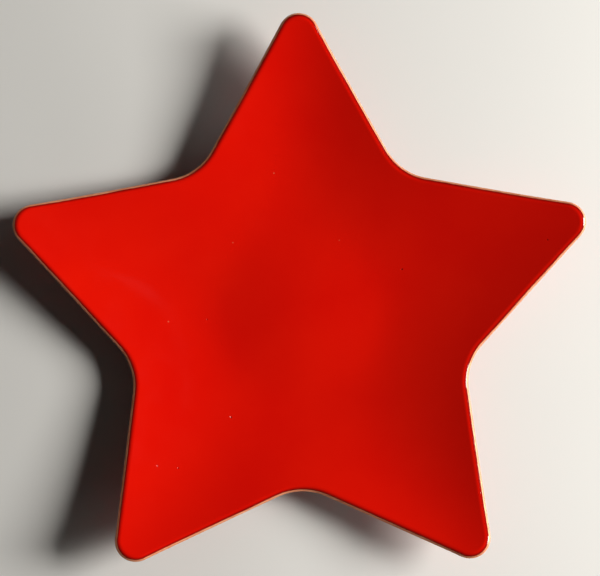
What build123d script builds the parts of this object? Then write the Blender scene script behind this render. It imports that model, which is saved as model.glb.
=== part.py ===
from build123d import *
import os
from math import asin, atan2, cos, degrees, hypot, pi, sin, sqrt

# A five-pointed star dish in glazed earthenware: a one-piece clay body with a turned foot ring,
# glazed inside and out, with a narrow gilt line fired onto the lip.
# Millimetres. The origin is the centre of the foot ring on the plane the dish stands on,
# +Z is up and one point of the star lies along +Y.

# Outline of the lip, seen from above
POINTS = 5
TIP_REACH = 145.0  # centre to the end of a point
VALLEY_REACH = 87.2  # centre to the lip between two points
TIP_ROUND = 10.0
VALLEY_ROUND = 29.0

# Inside of the bowl
FLOOR_HEIGHT = 6.0  # lowest ring of the floor
DOME_RISE = 0.9  # the middle of the floor swells up a little
DOME_REACH = 42.0
TIP_RISE = 25.0  # floor up to the lip at a point
VALLEY_RISE = 11.0  # floor up to the lip in a valley
BOWL_START = 41.5  # radius where the floor turns up
BOWL_BLEND = 9.0  # softness of that turn
BOWL_POWER = 1.45  # the wall steepens outwards with this power of the distance
TROUGH_SOFTNESS = 1.2  # how gently the arms' troughs cross from side to side

# Wall, glaze and gilding
WALL = 3.8
LIP_ROUND = 1.4
GLAZE = 0.4
GILT_WIDTH = 1.1  # seen from above
GILT_DROP = 2.3  # below the bowl's surface, carried out to the edge

# Foot ring
FOOT_OUTER = 51.0
FOOT_INNER = 44.5
FOOT_TAPER = 0.8  # each side leans in by this towards the standing face
FOOT_ROUND = 0.9
FOOT_ROOT = 4.2  # the ring runs up this far, into the wall
GLAZE_LINE = 1.2  # the glaze is wiped off the foot below this height

# Working sizes of the blanks that the pieces are cut from
BLANK = 160.0  # half the side of the square that carries the bowl's surface
BLANK_DEPTH = 80.0
STATIONS = 41  # points along each side of the surface's grid
SURFACE_TOLERANCE = 0.02


def tip_half_angle():
    """Angle between a point's axis and its straight side, which touches both rounding circles."""
    step = pi / POINTS
    valley_centre = VALLEY_REACH + VALLEY_ROUND
    inward = TIP_REACH - TIP_ROUND - valley_centre * cos(step)
    sideways = valley_centre * sin(step)
    between = hypot(inward, sideways)
    return atan2(sideways, inward) - asin((TIP_ROUND + VALLEY_ROUND) / between)


def star(inset):
    """The lip's outline as a flat face, moved inwards by the inset."""
    half = tip_half_angle()
    step = pi / POINTS
    side_distance = (TIP_REACH - TIP_ROUND) * sin(half) + TIP_ROUND - inset
    corners = []
    rounds = []
    for k in range(2 * POINTS):
        is_tip = k % 2 == 0
        reach = side_distance / sin(half if is_tip else half + step)
        angle = pi / 2 + k * step
        corners.append((reach * cos(angle), reach * sin(angle)))
        rounds.append(TIP_ROUND - inset if is_tip else VALLEY_ROUND + inset)
    return make_face(FilletPolyline(*corners, radius=rounds, close=True))


def wall_run(r):
    """Distance out from where the floor turns up, with a soft start."""
    out = r - BOWL_START
    return (out + sqrt(out**2 + BOWL_BLEND**2)) / 2


def bowl_height(x, y):
    """Height of the finished inside of the dish above the plane it stands on."""
    r = hypot(x, y)
    across = sin(POINTS / 2 * (atan2(y, x) - pi / 2)) ** 2  # 0 along a point, 1 along a valley
    soft = TROUGH_SOFTNESS
    valley_share = (sqrt(soft**2 + across) - soft) / (sqrt(soft**2 + 1) - soft)
    tip_rate = TIP_RISE / wall_run(TIP_REACH) ** BOWL_POWER
    valley_rate = VALLEY_RISE / wall_run(VALLEY_REACH) ** BOWL_POWER
    rate = tip_rate + (valley_rate - tip_rate) * valley_share
    dome = DOME_RISE * (1 + cos(pi * min(r / DOME_REACH, 1))) / 2
    return FLOOR_HEIGHT + dome + rate * wall_run(r) ** BOWL_POWER


def surface():
    """The inside of the bowl as one smooth face over a square larger than the star."""
    places = [BLANK * (2 * i / (STATIONS - 1) - 1) for i in range(STATIONS)]
    grid = [[Vector(x, y, bowl_height(x, y)) for y in places] for x in places]
    return Face.make_surface_from_array_of_points(grid, tol=SURFACE_TOLERANCE, min_deg=3, max_deg=5)


def below(bowl, drop):
    """Everything under the bowl's surface lowered by the drop."""
    lowered = Pos(0, 0, -drop) * bowl
    return Solid.extrude(lowered, Vector(0, 0, -BLANK_DEPTH))


def prism(inset):
    """Upright block with the star's outline."""
    return extrude(star(inset), BLANK_DEPTH)


def plate(bowl, inset):
    """The star-shaped wall with its rounded lip, every face moved inwards by the inset."""
    sharp = prism(inset) & below(bowl, inset) - below(bowl, WALL - inset)
    curved = sharp.faces().filter_by(GeomType.BSPLINE)
    return fillet(curved.edges(), LIP_ROUND - inset)


def foot(grow, bottom):
    """The foot ring, thicker by grow on each side, from the given height up into the wall."""
    lean = FOOT_TAPER * (1 - bottom / FOOT_ROOT)
    profile = make_face(
        Polyline(
            (FOOT_INNER - grow, FOOT_ROOT),
            (FOOT_INNER + lean - grow, bottom),
            (FOOT_OUTER - lean + grow, bottom),
            (FOOT_OUTER + grow, FOOT_ROOT),
            close=True,
        )
    )
    return revolve(Plane.XZ * profile, Axis.Z)


def standing_foot():
    """The bare clay foot ring, rounded where it meets the table."""
    ring = foot(0, 0)
    return fillet(ring.faces().sort_by(Axis.Z)[0].edges(), FOOT_ROUND)


def save(shape, name, color):
    """Write one sub-part, under its own name, to its own file."""
    shape.label = name
    shape.color = Color(color)
    export_step(shape, f"parts/{name}.step")
    print(name, "volume", round(shape.volume), "mm3")


def build():
    bowl = surface()
    finished = plate(bowl, 0)
    lower = below(bowl, GILT_DROP)

    # The gilding is one unbroken band round the lip, over its top and a little past half-way down
    # its edge.
    gilt = finished - lower - prism(GILT_WIDTH)
    clay = plate(bowl, GLAZE) + standing_foot() - gilt

    # The glaze is the skin between the clay and the finished surface. It covers the foot's sides
    # down to the glaze line, and the bare foot ring parts it underneath into the outside and the
    # round of the base.
    skin = finished - clay - gilt
    foot_skin = foot(GLAZE, GLAZE_LINE) - clay - finished
    underside = (skin & lower) + foot_skin
    within_foot = Cylinder((FOOT_INNER + FOOT_OUTER) / 2, BLANK_DEPTH)

    save(clay, "clay_body", "bisque")
    save(skin - lower, "inner_glaze", "red")
    save(underside - within_foot, "outer_glaze", "firebrick")
    save(underside & within_foot, "base_glaze", "firebrick")
    save(gilt, "gilt_rim", "gold")


os.makedirs("parts", exist_ok=True)
build()
print("tip half-angle", round(degrees(tip_half_angle()), 2), "degrees")
print("lip height at a point", round(bowl_height(0, TIP_REACH), 2), "mm")
print("lip height in a valley", round(bowl_height(0, -VALLEY_REACH), 2), "mm")
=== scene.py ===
from math import acos, asin, atan, atan2, cos, hypot, pi, radians, sin, sqrt

import bpy
from mathutils import Euler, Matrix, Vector, noise


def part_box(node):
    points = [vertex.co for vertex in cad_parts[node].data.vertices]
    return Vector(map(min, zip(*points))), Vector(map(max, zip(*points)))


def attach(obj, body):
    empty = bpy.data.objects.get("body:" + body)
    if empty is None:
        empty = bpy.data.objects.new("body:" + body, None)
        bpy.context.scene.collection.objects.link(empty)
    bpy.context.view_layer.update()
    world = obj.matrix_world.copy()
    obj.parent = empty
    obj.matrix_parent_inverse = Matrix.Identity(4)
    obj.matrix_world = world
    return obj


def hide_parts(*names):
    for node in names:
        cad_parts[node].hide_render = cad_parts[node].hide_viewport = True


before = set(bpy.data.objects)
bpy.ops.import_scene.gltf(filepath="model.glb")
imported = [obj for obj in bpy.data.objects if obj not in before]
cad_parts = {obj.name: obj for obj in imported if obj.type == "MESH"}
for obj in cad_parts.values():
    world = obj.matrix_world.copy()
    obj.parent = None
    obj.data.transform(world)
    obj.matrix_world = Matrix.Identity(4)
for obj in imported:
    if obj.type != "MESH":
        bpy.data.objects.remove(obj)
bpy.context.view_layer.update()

# The star dish again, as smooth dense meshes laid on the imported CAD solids: red glaze in the bowl
# and underneath, bare clay on the foot ring, and a hand-drawn gilt line along the lip.
# Everything is in metres, with the origin at the centre of the foot ring.

MM = 0.001

# Outline of the lip, seen from above, without the gilding. A point reaches as far as the CAD lip.
POINTS = 5
GILT_FILM = 0.03 * MM
EDGE_CLEARANCE = 0.02 * MM  # keeps the true curve inside the CAD's faceted one
TIP_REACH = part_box("gilt_rim")[1][1] - GILT_FILM - EDGE_CLEARANCE
VALLEY_REACH = 87.2 * MM - GILT_FILM - EDGE_CLEARANCE
TIP_ROUND = 10.0 * MM
VALLEY_ROUND = 29.0 * MM

# Inside of the bowl
FLOOR_HEIGHT = 6.0 * MM
DOME_RISE = 0.9 * MM
DOME_REACH = 42.0 * MM
TIP_RISE = 25.0 * MM
VALLEY_RISE = 11.0 * MM
BOWL_START = 41.5 * MM
BOWL_BLEND = 9.0 * MM
BOWL_POWER = 1.45
TROUGH_SOFTNESS = 1.2

# Wall, lip and gilding
WALL = 3.8 * MM
LIP_ROUND = 1.4 * MM
LIP_RUN = 2.3 * MM  # above, the lip rolls over in an ellipse, this far in and LIP_ROUND high
SLOPE_PROBE = 0.2  # the bowl's slope at the lip is taken over this share of LIP_RUN
LIP_BAND = 6.0 * MM  # the lip's own cross-section is modelled this far in from the edge
GILT_WIDTH = 0.9 * MM  # seen from above
GILT_WANDER = 0.2 * MM  # its inner edge strays by this, in long waves
GILT_RATE = 60.0  # waves per metre
GILT_JITTER = 0.08 * MM
GILT_JITTER_RATE = 9.0
GILT_UNDER = 0.10  # how far it goes round the lower half of the lip, of the whole way
GILT_UNDER_WANDER = 0.08
GILT_TUCK = 0.02

# Foot ring and glaze line
FOOT_OUTER = 51.0 * MM
FOOT_INNER = 44.5 * MM
FOOT_TAPER = 0.8 * MM
FOOT_ROUND = 0.9 * MM
FOOT_ROOT = 4.2 * MM
FOOT_COVE = 1.2 * MM  # soft fillet between the foot and the underside
GLAZE_LINE = 1.2 * MM
GLAZE_LINE_WANDER = 0.25 * MM
GLAZE_LINE_RATE = 120.0
GLAZE = 0.4 * MM

# Mesh density
TIP_STEPS = 40
VALLEY_STEPS = 24
SIDE_STEPS = 44
BOWL_RINGS = 90
BAND_RINGS = 10
LIP_STEPS = 14
UNDER_RINGS = 44
BASE_RINGS = 26
COVE_STEPS = 8
BEAD_STEPS = 5
FOOT_STEPS = 6
GILT_STEPS = 16

# Colours, linear
GLAZE_DEEP = (0.675, 0.0036, 0.0004)
GLAZE_BRIGHT = (0.725, 0.0058, 0.0006)
UNDERSIDE_PAINTED_SHADE = 0.55  # painted shade: the glaze underneath, which faces the cast shadow, is a darker copy, so that shadow comes out darker and less red
BREAK_MARK = "glaze_break"
BREAK_COLOR = (0.15, 0.002, 0.001)  # the glaze breaks thin and dark over the lip
BREAK_END = 0.78  # as a turn of the lip's upper rounding
BREAK_FADE = 0.30
PINHOLE_COLOR = (0.22, 0.004, 0.002)
LINT_COLOR = (0.75, 0.10, 0.05)
GILT_DEEP = (0.76, 0.24, 0.11)
GILT_BRIGHT = (0.90, 0.38, 0.20)
CLAY_PALE = (0.70, 0.58, 0.43)
CLAY_STAINED = (0.52, 0.40, 0.28)
CLAY_GRIT = (0.30, 0.20, 0.13)
FLOOR_PALE = (0.797, 0.787, 0.752)
FLOOR_DEEP = (0.777, 0.767, 0.732)

# Surface detail. Rates are in features per metre, cells and sizes in metres.
NOISE_SPREAD = (0.3, 0.7)  # nearly all noise lies in this range
PATCH_SPREAD = (0.35, 0.7)  # a higher start leaves the low patches plain
CLOUD_RATE = 22.0
GLAZE_IOR = 1.52
GLAZE_GLOSS_RATE = 60.0
GLAZE_ROUGHNESS = (0.07, 0.14)
RIPPLE_RATE = 90.0
RIPPLE_DEPTH = 0.02 * MM
PINHOLE_CELL = 12 * MM
PINHOLE_SIZE = 0.5 * MM
PINHOLE_SHARE = 0.22
PINHOLE_DEPTH = 0.15 * MM
LINT_CELL = 17 * MM
LINT_SIZE = 0.5 * MM
LINT_SHARE = 0.3
STROKE_RATE = 260.0
GILT_METALLIC = 0.35
GILT_GLOSS_RATE = 500.0
GILT_ROUGHNESS = (0.45, 0.60)
GILT_GRAIN_RATE = 900.0
GILT_GRAIN_DEPTH = 0.01 * MM
STAIN_RATE = 70.0
GRIT_CELL = 1.6 * MM
GRIT_SIZE = 0.25 * MM
GRIT_SHARE = 0.5
CLAY_ROUGHNESS = 0.9
CLAY_GRAIN_RATE = 1500.0
CLAY_DEPTH = 0.05 * MM
FLOOR_HALF = 2.0
FLOOR_RATE = 3.0
FLOOR_ROUGHNESS = 0.75

# Light: one soft window to the right of the dish with a low glow from its sill, and a faint small
# light high up, in a dim room
WINDOW_PLACE = (1.14, 0.05, 0.77)
WINDOW_TARGET = (0.0, 0.0, 0.02)
WINDOW_SIZE = (0.54, 0.60)
WINDOW_POWER = 28.0
WINDOW_COLOR = (1.0, 0.98, 0.95)
SILL_PLACE = (1.30, 0.14, 0.24)
SILL_TARGET = (0.0, 0.0, 0.02)
SILL_SIZE = (0.9, 0.16)
SILL_POWER = 6.5
CEILING_PLACE = (0.56, 0.22, 1.50)
CEILING_TARGET = (0.03, 0.02, 0.0)
CEILING_SIZE = (0.09, 0.08)
CEILING_POWER = 0.0035
ROOM_COLOR = (1.0, 0.93, 0.85)
ROOM_STRENGTH = 0.020

# Camera: nearly straight above the dish, leaning a few degrees towards -Y
CAMERA_DISTANCE = 0.858
CAMERA_VIEW_WIDTH = 0.2985  # of the floor, across the picture
CAMERA_CENTRE = (0.2 * MM, 12.9 * MM)
CAMERA_TILT = 5.0
CAMERA_SIDE_TILT = -1.25
CAMERA_ROLL = -0.5


# ---------------------------------------------------------------- the shape


def tip_half_angle():
    """Angle between a point's axis and its straight side, which touches both rounding circles."""
    step = pi / POINTS
    valley_centre = VALLEY_REACH + VALLEY_ROUND
    inward = TIP_REACH - TIP_ROUND - valley_centre * cos(step)
    sideways = valley_centre * sin(step)
    between = hypot(inward, sideways)
    return atan2(sideways, inward) - asin((TIP_ROUND + VALLEY_ROUND) / between)


def arc(centre, radius, start, end, steps, facing):
    """Stations (point, outward direction) along an arc, without its last point."""
    stations = []
    for i in range(steps):
        angle = start + (end - start) * i / steps
        out = Vector((cos(angle), sin(angle)))
        stations.append((centre + radius * out, out * facing))
    return stations


def straight(a, b, out, steps):
    """Stations along a straight side, without its last point."""
    return [(a.lerp(b, i / steps), out) for i in range(steps)]


def star_stations():
    """The lip's outline as stations, anticlockwise from the start of the first point's arc."""
    half = tip_half_angle()
    step = pi / POINTS
    tip_sweep = pi / 2 - half
    valley_sweep = pi / 2 - half - step
    stations = []
    for k in range(POINTS):
        axis = pi / 2 + 2 * k * step
        valley = axis + step
        tip_centre = Vector((cos(axis), sin(axis))) * (TIP_REACH - TIP_ROUND)
        valley_centre = Vector((cos(valley), sin(valley))) * (VALLEY_REACH + VALLEY_ROUND)
        next_axis = axis + 2 * step
        next_centre = Vector((cos(next_axis), sin(next_axis))) * (TIP_REACH - TIP_ROUND)
        down = axis + tip_sweep
        up = axis + 2 * step - tip_sweep
        down_out = Vector((cos(down), sin(down)))
        up_out = Vector((cos(up), sin(up)))
        stations += arc(tip_centre, TIP_ROUND, axis - tip_sweep, down, TIP_STEPS, 1)
        leave = tip_centre + TIP_ROUND * down_out
        arrive = valley_centre - VALLEY_ROUND * down_out
        stations += straight(leave, arrive, down_out, SIDE_STEPS)
        start = valley + pi + valley_sweep
        end = valley + pi - valley_sweep
        stations += arc(valley_centre, VALLEY_ROUND, start, end, VALLEY_STEPS, -1)
        leave = valley_centre - VALLEY_ROUND * up_out
        arrive = next_centre + TIP_ROUND * up_out
        stations += straight(leave, arrive, up_out, SIDE_STEPS)
    return stations


def wall_run(r):
    """Distance out from where the floor turns up, with a soft start."""
    out = r - BOWL_START
    return (out + sqrt(out**2 + BOWL_BLEND**2)) / 2


def bowl_height(x, y):
    """Height of the finished inside of the dish above the plane it stands on."""
    r = hypot(x, y)
    across = sin(POINTS / 2 * (atan2(y, x) - pi / 2)) ** 2
    soft = TROUGH_SOFTNESS
    valley_share = (sqrt(soft**2 + across) - soft) / (sqrt(soft**2 + 1) - soft)
    tip_rate = TIP_RISE / wall_run(TIP_REACH) ** BOWL_POWER
    valley_rate = VALLEY_RISE / wall_run(VALLEY_REACH) ** BOWL_POWER
    rate = tip_rate + (valley_rate - tip_rate) * valley_share
    dome = DOME_RISE * (1 + cos(pi * min(r / DOME_REACH, 1))) / 2
    return FLOOR_HEIGHT + dome + rate * wall_run(r) ** BOWL_POWER


def underside_height(x, y):
    return bowl_height(x, y) - WALL


def lip_circles(station):
    """The lip's two roundings at a station, as (end tilt, height of the centre) pairs: how far round
    its ellipse or circle each one meets the bowl or the underside."""
    point, out = station
    near, far = point - out * LIP_RUN, point - out * LIP_RUN * (1 + SLOPE_PROBE)
    slope = (bowl_height(near.x, near.y) - bowl_height(far.x, far.y)) / (LIP_RUN * SLOPE_PROBE)
    tilt = atan(slope * LIP_RUN / LIP_ROUND)
    start = point - out * lip_inset(tilt)
    upper = bowl_height(start.x, start.y) - LIP_ROUND * cos(tilt)
    near = point - out * LIP_ROUND
    lower = underside_height(near.x, near.y) + LIP_ROUND * sqrt(1 + slope**2)
    return (tilt, upper), (atan(slope), lower)


def top_tilt(circles):
    """How far round its ellipse the upper rounding meets the bowl."""
    return circles[0][0]


def on_lip(station, circles, turn, grow=0.0):
    """A point on the lip. The turn runs from 1, where the bowl meets the upper rounding, through 0 at
    the edge, to -1, where the lower rounding meets the underside."""
    point, out = station
    (upper_tilt, upper), (under_tilt, lower) = circles
    angle = (pi / 2 + upper_tilt) * turn if turn > 0 else (pi / 2 - under_tilt) * turn
    run, centre = (LIP_RUN, upper) if turn > 0 else (LIP_ROUND, lower)
    flat = point + out * ((run + grow) * cos(angle) - run)
    return (flat.x, flat.y, centre + (LIP_ROUND + grow) * sin(angle))


def lip_inset(tilt):
    """How far in from the edge the upper rounding meets the bowl."""
    return LIP_RUN * (1 + sin(tilt))


# ---------------------------------------------------------------- meshes


def loft(name, rings, material, nodes, centre=None):
    """A smooth sheet through closed rings of points, facing the side that sees the rings run
    anticlockwise as they close in. A centre point, where given, closes the last ring."""
    count = len(rings[0])
    points = [point for ring in rings for point in ring]
    faces = []
    for r in range(len(rings) - 1):
        here, there = r * count, (r + 1) * count
        for k in range(count):
            n = (k + 1) % count
            faces.append((here + k, here + n, there + n, there + k))
    if centre is not None:
        last = (len(rings) - 1) * count
        faces += [(last + k, last + (k + 1) % count, len(points)) for k in range(count)]
        points.append(centre)
    mesh = bpy.data.meshes.new(name)
    mesh.from_pydata(points, [], faces)
    mesh.shade_smooth()
    mesh.materials.append(material)
    piece = bpy.data.objects.new(name, mesh)
    bpy.context.scene.collection.objects.link(piece)
    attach(piece, "root")
    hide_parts(*nodes)
    return piece


def circle_ring(radius, directions, height):
    """A ring round the axis. The radius and the height are numbers or functions of the direction."""
    ring = []
    for x, y in directions:
        r = radius(x, y) if callable(radius) else radius
        ring.append((r * x, r * y, height(r * x, r * y) if callable(height) else height))
    return ring


def glaze_line(x, y):
    """Height of the glaze's wiped edge on the foot, which is never quite level."""
    return GLAZE_LINE + GLAZE_LINE_WANDER * noise.noise(Vector((x, y, 0.0)) * GLAZE_LINE_RATE)


def foot_side(sign, height):
    """Radius of the clay foot's outer (+1) or inner (-1) side, which leans in towards the table."""
    root = FOOT_OUTER if sign > 0 else FOOT_INNER
    return root - sign * FOOT_TAPER * (1 - height / FOOT_ROOT)


def foot_coat(sign, directions):
    """The glaze on one side of the foot: a cove out of the underside, then down to the bead at the
    glaze line."""
    rings = []
    for i in range(COVE_STEPS + 1):
        turn = pi / 2 * i / COVE_STEPS
        radius = foot_side(sign, FOOT_ROOT) + sign * (GLAZE + FOOT_COVE * (1 - sin(turn)))
        drop = FOOT_COVE * (1 - cos(turn))
        rings.append(circle_ring(radius, directions, lambda x, y: underside_height(x, y) - drop))
    for i in range(BEAD_STEPS + 1):
        turn = pi / 2 * i / BEAD_STEPS
        ring = []
        for x, y in directions:
            height = glaze_line(x, y) + GLAZE * (1 - sin(turn))
            radius = foot_side(sign, height) + sign * GLAZE * cos(turn)
            ring.append((radius * x, radius * y, height))
        rings.append(ring)
    return rings


def add_bowl_glaze(stations, circles, material):
    """The glaze from the lip's edge, under the gilding, in to the middle of the floor."""
    rings = []
    for i in range(LIP_STEPS + 1):
        turn = i / LIP_STEPS
        rings.append([on_lip(s, c, turn) for s, c in zip(stations, circles)])
    for i in range(1, BAND_RINGS + 1):
        ring = []
        for s, c in zip(stations, circles):
            start = lip_inset(top_tilt(c))
            inset = start + (LIP_BAND - start) * i / BAND_RINGS
            flat = s[0] - s[1] * inset
            ring.append((flat.x, flat.y, bowl_height(flat.x, flat.y)))
        rings.append(ring)
    for i in range(1, BOWL_RINGS):
        share = 1 - i / BOWL_RINGS
        ring = []
        for point, out in stations:
            flat = (point - out * LIP_BAND) * share
            ring.append((flat.x, flat.y, bowl_height(flat.x, flat.y)))
        rings.append(ring)
    middle = (0.0, 0.0, bowl_height(0.0, 0.0))
    piece = loft("bowl_glaze", rings, material, ["inner_glaze"], middle)
    mark_break(piece, len(stations))
    return piece


def mark_break(piece, count):
    """Marks how far the glaze has broken thin over the lip: 1 under the gilding, 0 in the bowl."""
    mark = piece.data.attributes.new(BREAK_MARK, "FLOAT", "POINT")
    for i in range(len(piece.data.vertices)):
        turn = min(i // count / LIP_STEPS, 1.0)
        mark.data[i].value = min(max((BREAK_END - turn) / BREAK_FADE, 0.0), 1.0)


def add_underside_glaze(stations, circles, directions, material):
    """The glaze from the lip's edge round below, along the underside and down the foot's outside."""
    rings = []
    for i in range(LIP_STEPS + 1):
        turn = -i / LIP_STEPS
        rings.append([on_lip(s, c, turn) for s, c in zip(stations, circles)])
    foot_start = foot_side(1, FOOT_ROOT) + GLAZE + FOOT_COVE
    for i in range(UNDER_RINGS):
        share = i / UNDER_RINGS
        ring = []
        for (point, out), direction in zip(stations, directions):
            flat = (point - out * LIP_BAND).lerp(direction * foot_start, share)
            ring.append((flat.x, flat.y, underside_height(flat.x, flat.y)))
        rings.append(ring)
    rings += foot_coat(1, directions)
    rings = [ring[::-1] for ring in rings]
    return loft("underside_glaze", rings, material, ["outer_glaze"])


def add_base_glaze(directions, material):
    """The glaze within the foot, from the glaze line up over the cove and in to the middle."""
    rings = foot_coat(-1, directions)[::-1]
    start = foot_side(-1, FOOT_ROOT) - GLAZE - FOOT_COVE
    for i in range(1, BASE_RINGS):
        rings.append(circle_ring(start * (1 - i / BASE_RINGS), directions, underside_height))
    rings = [ring[::-1] for ring in rings]
    middle = (0.0, 0.0, underside_height(0.0, 0.0))
    return loft("round_base_glaze", rings, material, ["base_glaze"], middle)


def add_foot(directions, material):
    """The bare clay of the foot between the two glaze lines, its standing edges rounded."""
    hidden = GLAZE_LINE + GLAZE  # the clay runs up behind the glaze this far
    rings = []
    for sign in (1, -1):
        edge = foot_side(sign, FOOT_ROUND)
        side = [circle_ring(foot_side(sign, hidden), directions, hidden)]
        for i in range(FOOT_STEPS + 1):
            turn = pi / 2 * i / FOOT_STEPS
            radius = edge - sign * FOOT_ROUND * (1 - cos(turn))
            side.append(circle_ring(radius, directions, FOOT_ROUND * (1 - sin(turn))))
        rings += side if sign > 0 else side[::-1]
    rings = [ring[::-1] for ring in rings]
    return loft("clay_foot", rings, material, ["clay_body"])


def add_gilt_line(stations, circles, material):
    """The gilding: a thin film over the lip, between two edges drawn by hand."""
    inner_turns = []
    outer_turns = []
    for station, c in zip(stations, circles):
        place = Vector((station[0].x, station[0].y, 0.0)) * GILT_RATE
        width = GILT_WIDTH + GILT_WANDER * noise.noise(place)
        width += GILT_JITTER * noise.noise(place * GILT_JITTER_RATE)
        inner_turns.append(acos(1 - width / LIP_RUN) / (pi / 2 + top_tilt(c)))
        outer_turns.append(-GILT_UNDER + GILT_UNDER_WANDER * noise.noise(place + Vector((0, 0, 5))))
    rings = []
    for i in range(-1, GILT_STEPS + 2):
        share = min(max(i / GILT_STEPS, 0), 1)
        tucked = i < 0 or i > GILT_STEPS
        ring = []
        for s, c, inner, outer in zip(stations, circles, inner_turns, outer_turns):
            turn = inner + (outer - inner) * share
            if tucked:
                turn += GILT_TUCK if i < 0 else -GILT_TUCK
            ring.append(on_lip(s, c, turn, -GILT_FILM if tucked else GILT_FILM))
        rings.append(ring)
    rings.reverse()
    return loft("gilt_line", rings, material, ["gilt_rim"])


# ---------------------------------------------------------------- materials


def new_material(name):
    """A material with an empty node tree but for its shader. Returns it with its tree and shader."""
    material = bpy.data.materials.new(name)
    material.use_nodes = True
    tree = material.node_tree
    shader = tree.nodes["Principled BSDF"]
    return material, tree, shader


def coordinates(tree):
    return tree.nodes.new("ShaderNodeTexCoord").outputs["Object"]


def noise_field(tree, scale, detail=2.0, roughness=0.5):
    """Procedural noise from 0 to 1. The scale is in features per metre."""
    field = tree.nodes.new("ShaderNodeTexNoise")
    field.inputs["Scale"].default_value = scale
    field.inputs["Detail"].default_value = detail
    field.inputs["Roughness"].default_value = roughness
    tree.links.new(coordinates(tree), field.inputs["Vector"])
    return field.outputs["Fac"]


def remap(tree, value, low, high, to_low, to_high):
    """The value, held between low and high, stretched to the new range."""
    node = tree.nodes.new("ShaderNodeMapRange")
    node.inputs["From Min"].default_value = low
    node.inputs["From Max"].default_value = high
    node.inputs["To Min"].default_value = to_low
    node.inputs["To Max"].default_value = to_high
    tree.links.new(value, node.inputs["Value"])
    return node.outputs["Result"]


def blend_colors(tree, share, low, high):
    """A colour between two, by the share. Each colour is a socket or three numbers."""
    node = tree.nodes.new("ShaderNodeMix")
    node.data_type = "RGBA"
    tree.links.new(share, node.inputs["Factor"])
    for socket, color in ((node.inputs[6], low), (node.inputs[7], high)):
        if isinstance(color, tuple):
            socket.default_value = (*color, 1.0)
        else:
            tree.links.new(color, socket)
    return node.outputs[2]


def specks(tree, cell, size, share):
    """Small round specks from 0 to 1, one in some of the cells. Cell and size are in metres, and the
    share of the cells that hold one is from 0 to 1."""
    grid = tree.nodes.new("ShaderNodeTexVoronoi")
    grid.inputs["Scale"].default_value = 1 / cell
    tree.links.new(coordinates(tree), grid.inputs["Vector"])
    spot = remap(tree, grid.outputs["Distance"], size / cell * 0.4, size / cell, 1.0, 0.0)
    pick = tree.nodes.new("ShaderNodeSeparateColor")
    tree.links.new(grid.outputs["Color"], pick.inputs["Color"])
    chosen = remap(tree, pick.outputs["Red"], share, share + 0.001, 1.0, 0.0)
    both = tree.nodes.new("ShaderNodeMath")
    both.operation = "MULTIPLY"
    tree.links.new(spot, both.inputs[0])
    tree.links.new(chosen, both.inputs[1])
    return both.outputs["Value"]


def bump(tree, shader, *layers):
    """Adds bump layers, each (height socket, depth in metres), one on top of another."""
    normal = None
    for height, depth in layers:
        node = tree.nodes.new("ShaderNodeBump")
        node.inputs["Distance"].default_value = depth
        tree.links.new(height, node.inputs["Height"])
        if normal is not None:
            tree.links.new(normal, node.inputs["Normal"])
        normal = node.outputs["Normal"]
    tree.links.new(normal, shader.inputs["Normal"])


def red_glaze_material(name, tone=1.0):
    """Opaque orange-red glaze: glossy, faintly clouded, with a slight ripple, pinholes and lint. The
    tone darkens the whole glaze, as painted shade."""
    material, tree, shader = new_material(name)
    clouds = remap(tree, noise_field(tree, CLOUD_RATE, 3.0), *NOISE_SPREAD, 0.0, 1.0)
    deep, bright = (tuple(tone * part for part in color) for color in (GLAZE_DEEP, GLAZE_BRIGHT))
    color = blend_colors(tree, clouds, deep, bright)
    broken = tree.nodes.new("ShaderNodeAttribute")
    broken.attribute_name = BREAK_MARK
    color = blend_colors(tree, broken.outputs["Fac"], color, BREAK_COLOR)
    pinholes = specks(tree, PINHOLE_CELL, PINHOLE_SIZE, PINHOLE_SHARE)
    color = blend_colors(tree, pinholes, color, PINHOLE_COLOR)
    lint = specks(tree, LINT_CELL, LINT_SIZE, LINT_SHARE)
    color = blend_colors(tree, lint, color, LINT_COLOR)
    tree.links.new(color, shader.inputs["Base Color"])
    gloss = noise_field(tree, GLAZE_GLOSS_RATE, 4.0)
    worn = remap(tree, gloss, *PATCH_SPREAD, *GLAZE_ROUGHNESS)
    tree.links.new(worn, shader.inputs["Roughness"])
    shader.inputs["IOR"].default_value = GLAZE_IOR
    ripple = noise_field(tree, RIPPLE_RATE, 2.0)
    bump(tree, shader, (ripple, RIPPLE_DEPTH), (pinholes, -PINHOLE_DEPTH))
    return material


def gilding_material():
    """Fired gold lustre: thin, warm and a little brown, brushed along, its gloss patchy."""
    material, tree, shader = new_material("gilding")
    strokes = remap(tree, noise_field(tree, STROKE_RATE, 3.0), *NOISE_SPREAD, 0.0, 1.0)
    color = blend_colors(tree, strokes, GILT_DEEP, GILT_BRIGHT)
    tree.links.new(color, shader.inputs["Base Color"])
    shader.inputs["Metallic"].default_value = GILT_METALLIC
    gloss = noise_field(tree, GILT_GLOSS_RATE, 2.0)
    rough = remap(tree, gloss, *NOISE_SPREAD, *GILT_ROUGHNESS)
    tree.links.new(rough, shader.inputs["Roughness"])
    bump(tree, shader, (noise_field(tree, GILT_GRAIN_RATE, 2.0), GILT_GRAIN_DEPTH))
    return material


def clay_material():
    """Bare fired earthenware on the foot: matt, sandy and a little stained where it stands."""
    material, tree, shader = new_material("clay")
    stains = remap(tree, noise_field(tree, STAIN_RATE, 5.0), *PATCH_SPREAD, 0.0, 1.0)
    color = blend_colors(tree, stains, CLAY_PALE, CLAY_STAINED)
    grit = specks(tree, GRIT_CELL, GRIT_SIZE, GRIT_SHARE)
    color = blend_colors(tree, grit, color, CLAY_GRIT)
    tree.links.new(color, shader.inputs["Base Color"])
    shader.inputs["Roughness"].default_value = CLAY_ROUGHNESS
    grain = noise_field(tree, CLAY_GRAIN_RATE, 3.0)
    bump(tree, shader, (grain, CLAY_DEPTH), (grit, CLAY_DEPTH))
    return material


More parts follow.
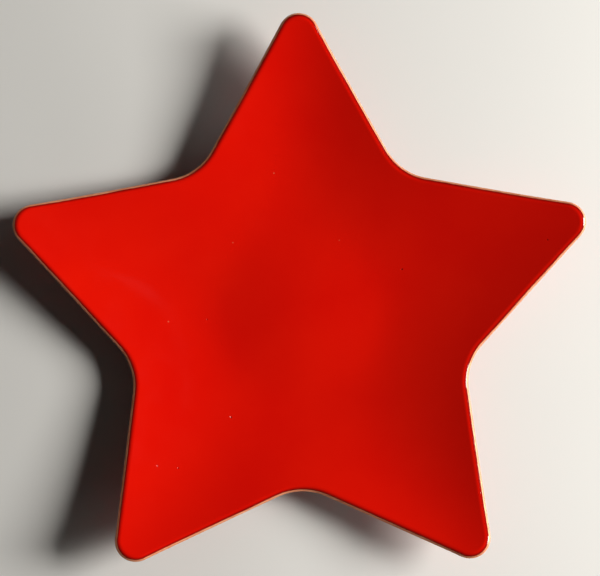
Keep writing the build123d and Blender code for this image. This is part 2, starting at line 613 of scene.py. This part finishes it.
def floor_material():
    """Plain pale warm tabletop."""
    material, tree, shader = new_material("tabletop")
    cast = remap(tree, noise_field(tree, FLOOR_RATE, 3.0), *NOISE_SPREAD, 0.0, 1.0)
    color = blend_colors(tree, cast, FLOOR_DEEP, FLOOR_PALE)
    tree.links.new(color, shader.inputs["Base Color"])
    shader.inputs["Roughness"].default_value = FLOOR_ROUGHNESS
    return material


# ---------------------------------------------------------------- stage, light and camera


def add_floor():
    half = FLOOR_HALF
    mesh = bpy.data.meshes.new("floor")
    corners = [(-half, -half, 0.0), (half, -half, 0.0), (half, half, 0.0), (-half, half, 0.0)]
    mesh.from_pydata(corners, [], [(0, 1, 2, 3)])
    mesh.materials.append(floor_material())
    floor = bpy.data.objects.new("floor", mesh)
    bpy.context.scene.collection.objects.link(floor)


def add_area_light(name, place, target, size, power, color):
    """A rectangular light at a place, aimed at a target. The size is (width, height)."""
    data = bpy.data.lights.new(name, "AREA")
    data.shape = "RECTANGLE"
    data.size, data.size_y = size
    data.energy = power
    data.color = color
    light = bpy.data.objects.new(name, data)
    light.location = place
    light.rotation_euler = (Vector(target) - Vector(place)).to_track_quat("-Z", "Y").to_euler()
    bpy.context.scene.collection.objects.link(light)


def add_world():
    world = bpy.data.worlds.new("room")
    world.use_nodes = True
    background = world.node_tree.nodes["Background"]
    background.inputs["Color"].default_value = (*ROOM_COLOR, 1.0)
    background.inputs["Strength"].default_value = ROOM_STRENGTH
    bpy.context.scene.world = world


def add_camera():
    """Above the dish, looking down at the middle of the view, with +Y up in the picture."""
    data = bpy.data.cameras.new("camera")
    data.sensor_width = 36.0
    data.lens = data.sensor_width * CAMERA_DISTANCE / CAMERA_VIEW_WIDTH
    turn = Euler([radians(angle) for angle in (CAMERA_TILT, CAMERA_SIDE_TILT, CAMERA_ROLL)])
    look = turn.to_matrix() @ Vector((0.0, 0.0, -1.0))
    camera = bpy.data.objects.new("camera", data)
    camera.rotation_euler = turn
    camera.location = Vector((*CAMERA_CENTRE, 0.0)) - look * CAMERA_DISTANCE
    bpy.context.scene.collection.objects.link(camera)
    bpy.context.scene.camera = camera


def build():
    stations = star_stations()
    circles = [lip_circles(s) for s in stations]
    directions = [station[0].normalized() for station in stations]
    add_bowl_glaze(stations, circles, red_glaze_material("red_glaze"))
    # painted shade: the glaze under the dish and within the foot is a darker copy of the bowl's glaze
    under = red_glaze_material("underside_glaze", UNDERSIDE_PAINTED_SHADE)
    add_underside_glaze(stations, circles, directions, under)
    add_base_glaze(directions, under)
    add_foot(directions, clay_material())
    add_gilt_line(stations, circles, gilding_material())


build()
add_floor()
add_world()
add_area_light("window", WINDOW_PLACE, WINDOW_TARGET, WINDOW_SIZE, WINDOW_POWER, WINDOW_COLOR)
add_area_light("sill", SILL_PLACE, SILL_TARGET, SILL_SIZE, SILL_POWER, WINDOW_COLOR)
add_area_light("ceiling", CEILING_PLACE, CEILING_TARGET, CEILING_SIZE, CEILING_POWER, WINDOW_COLOR)
add_camera()
bpy.context.scene.view_settings.view_transform = "Standard"
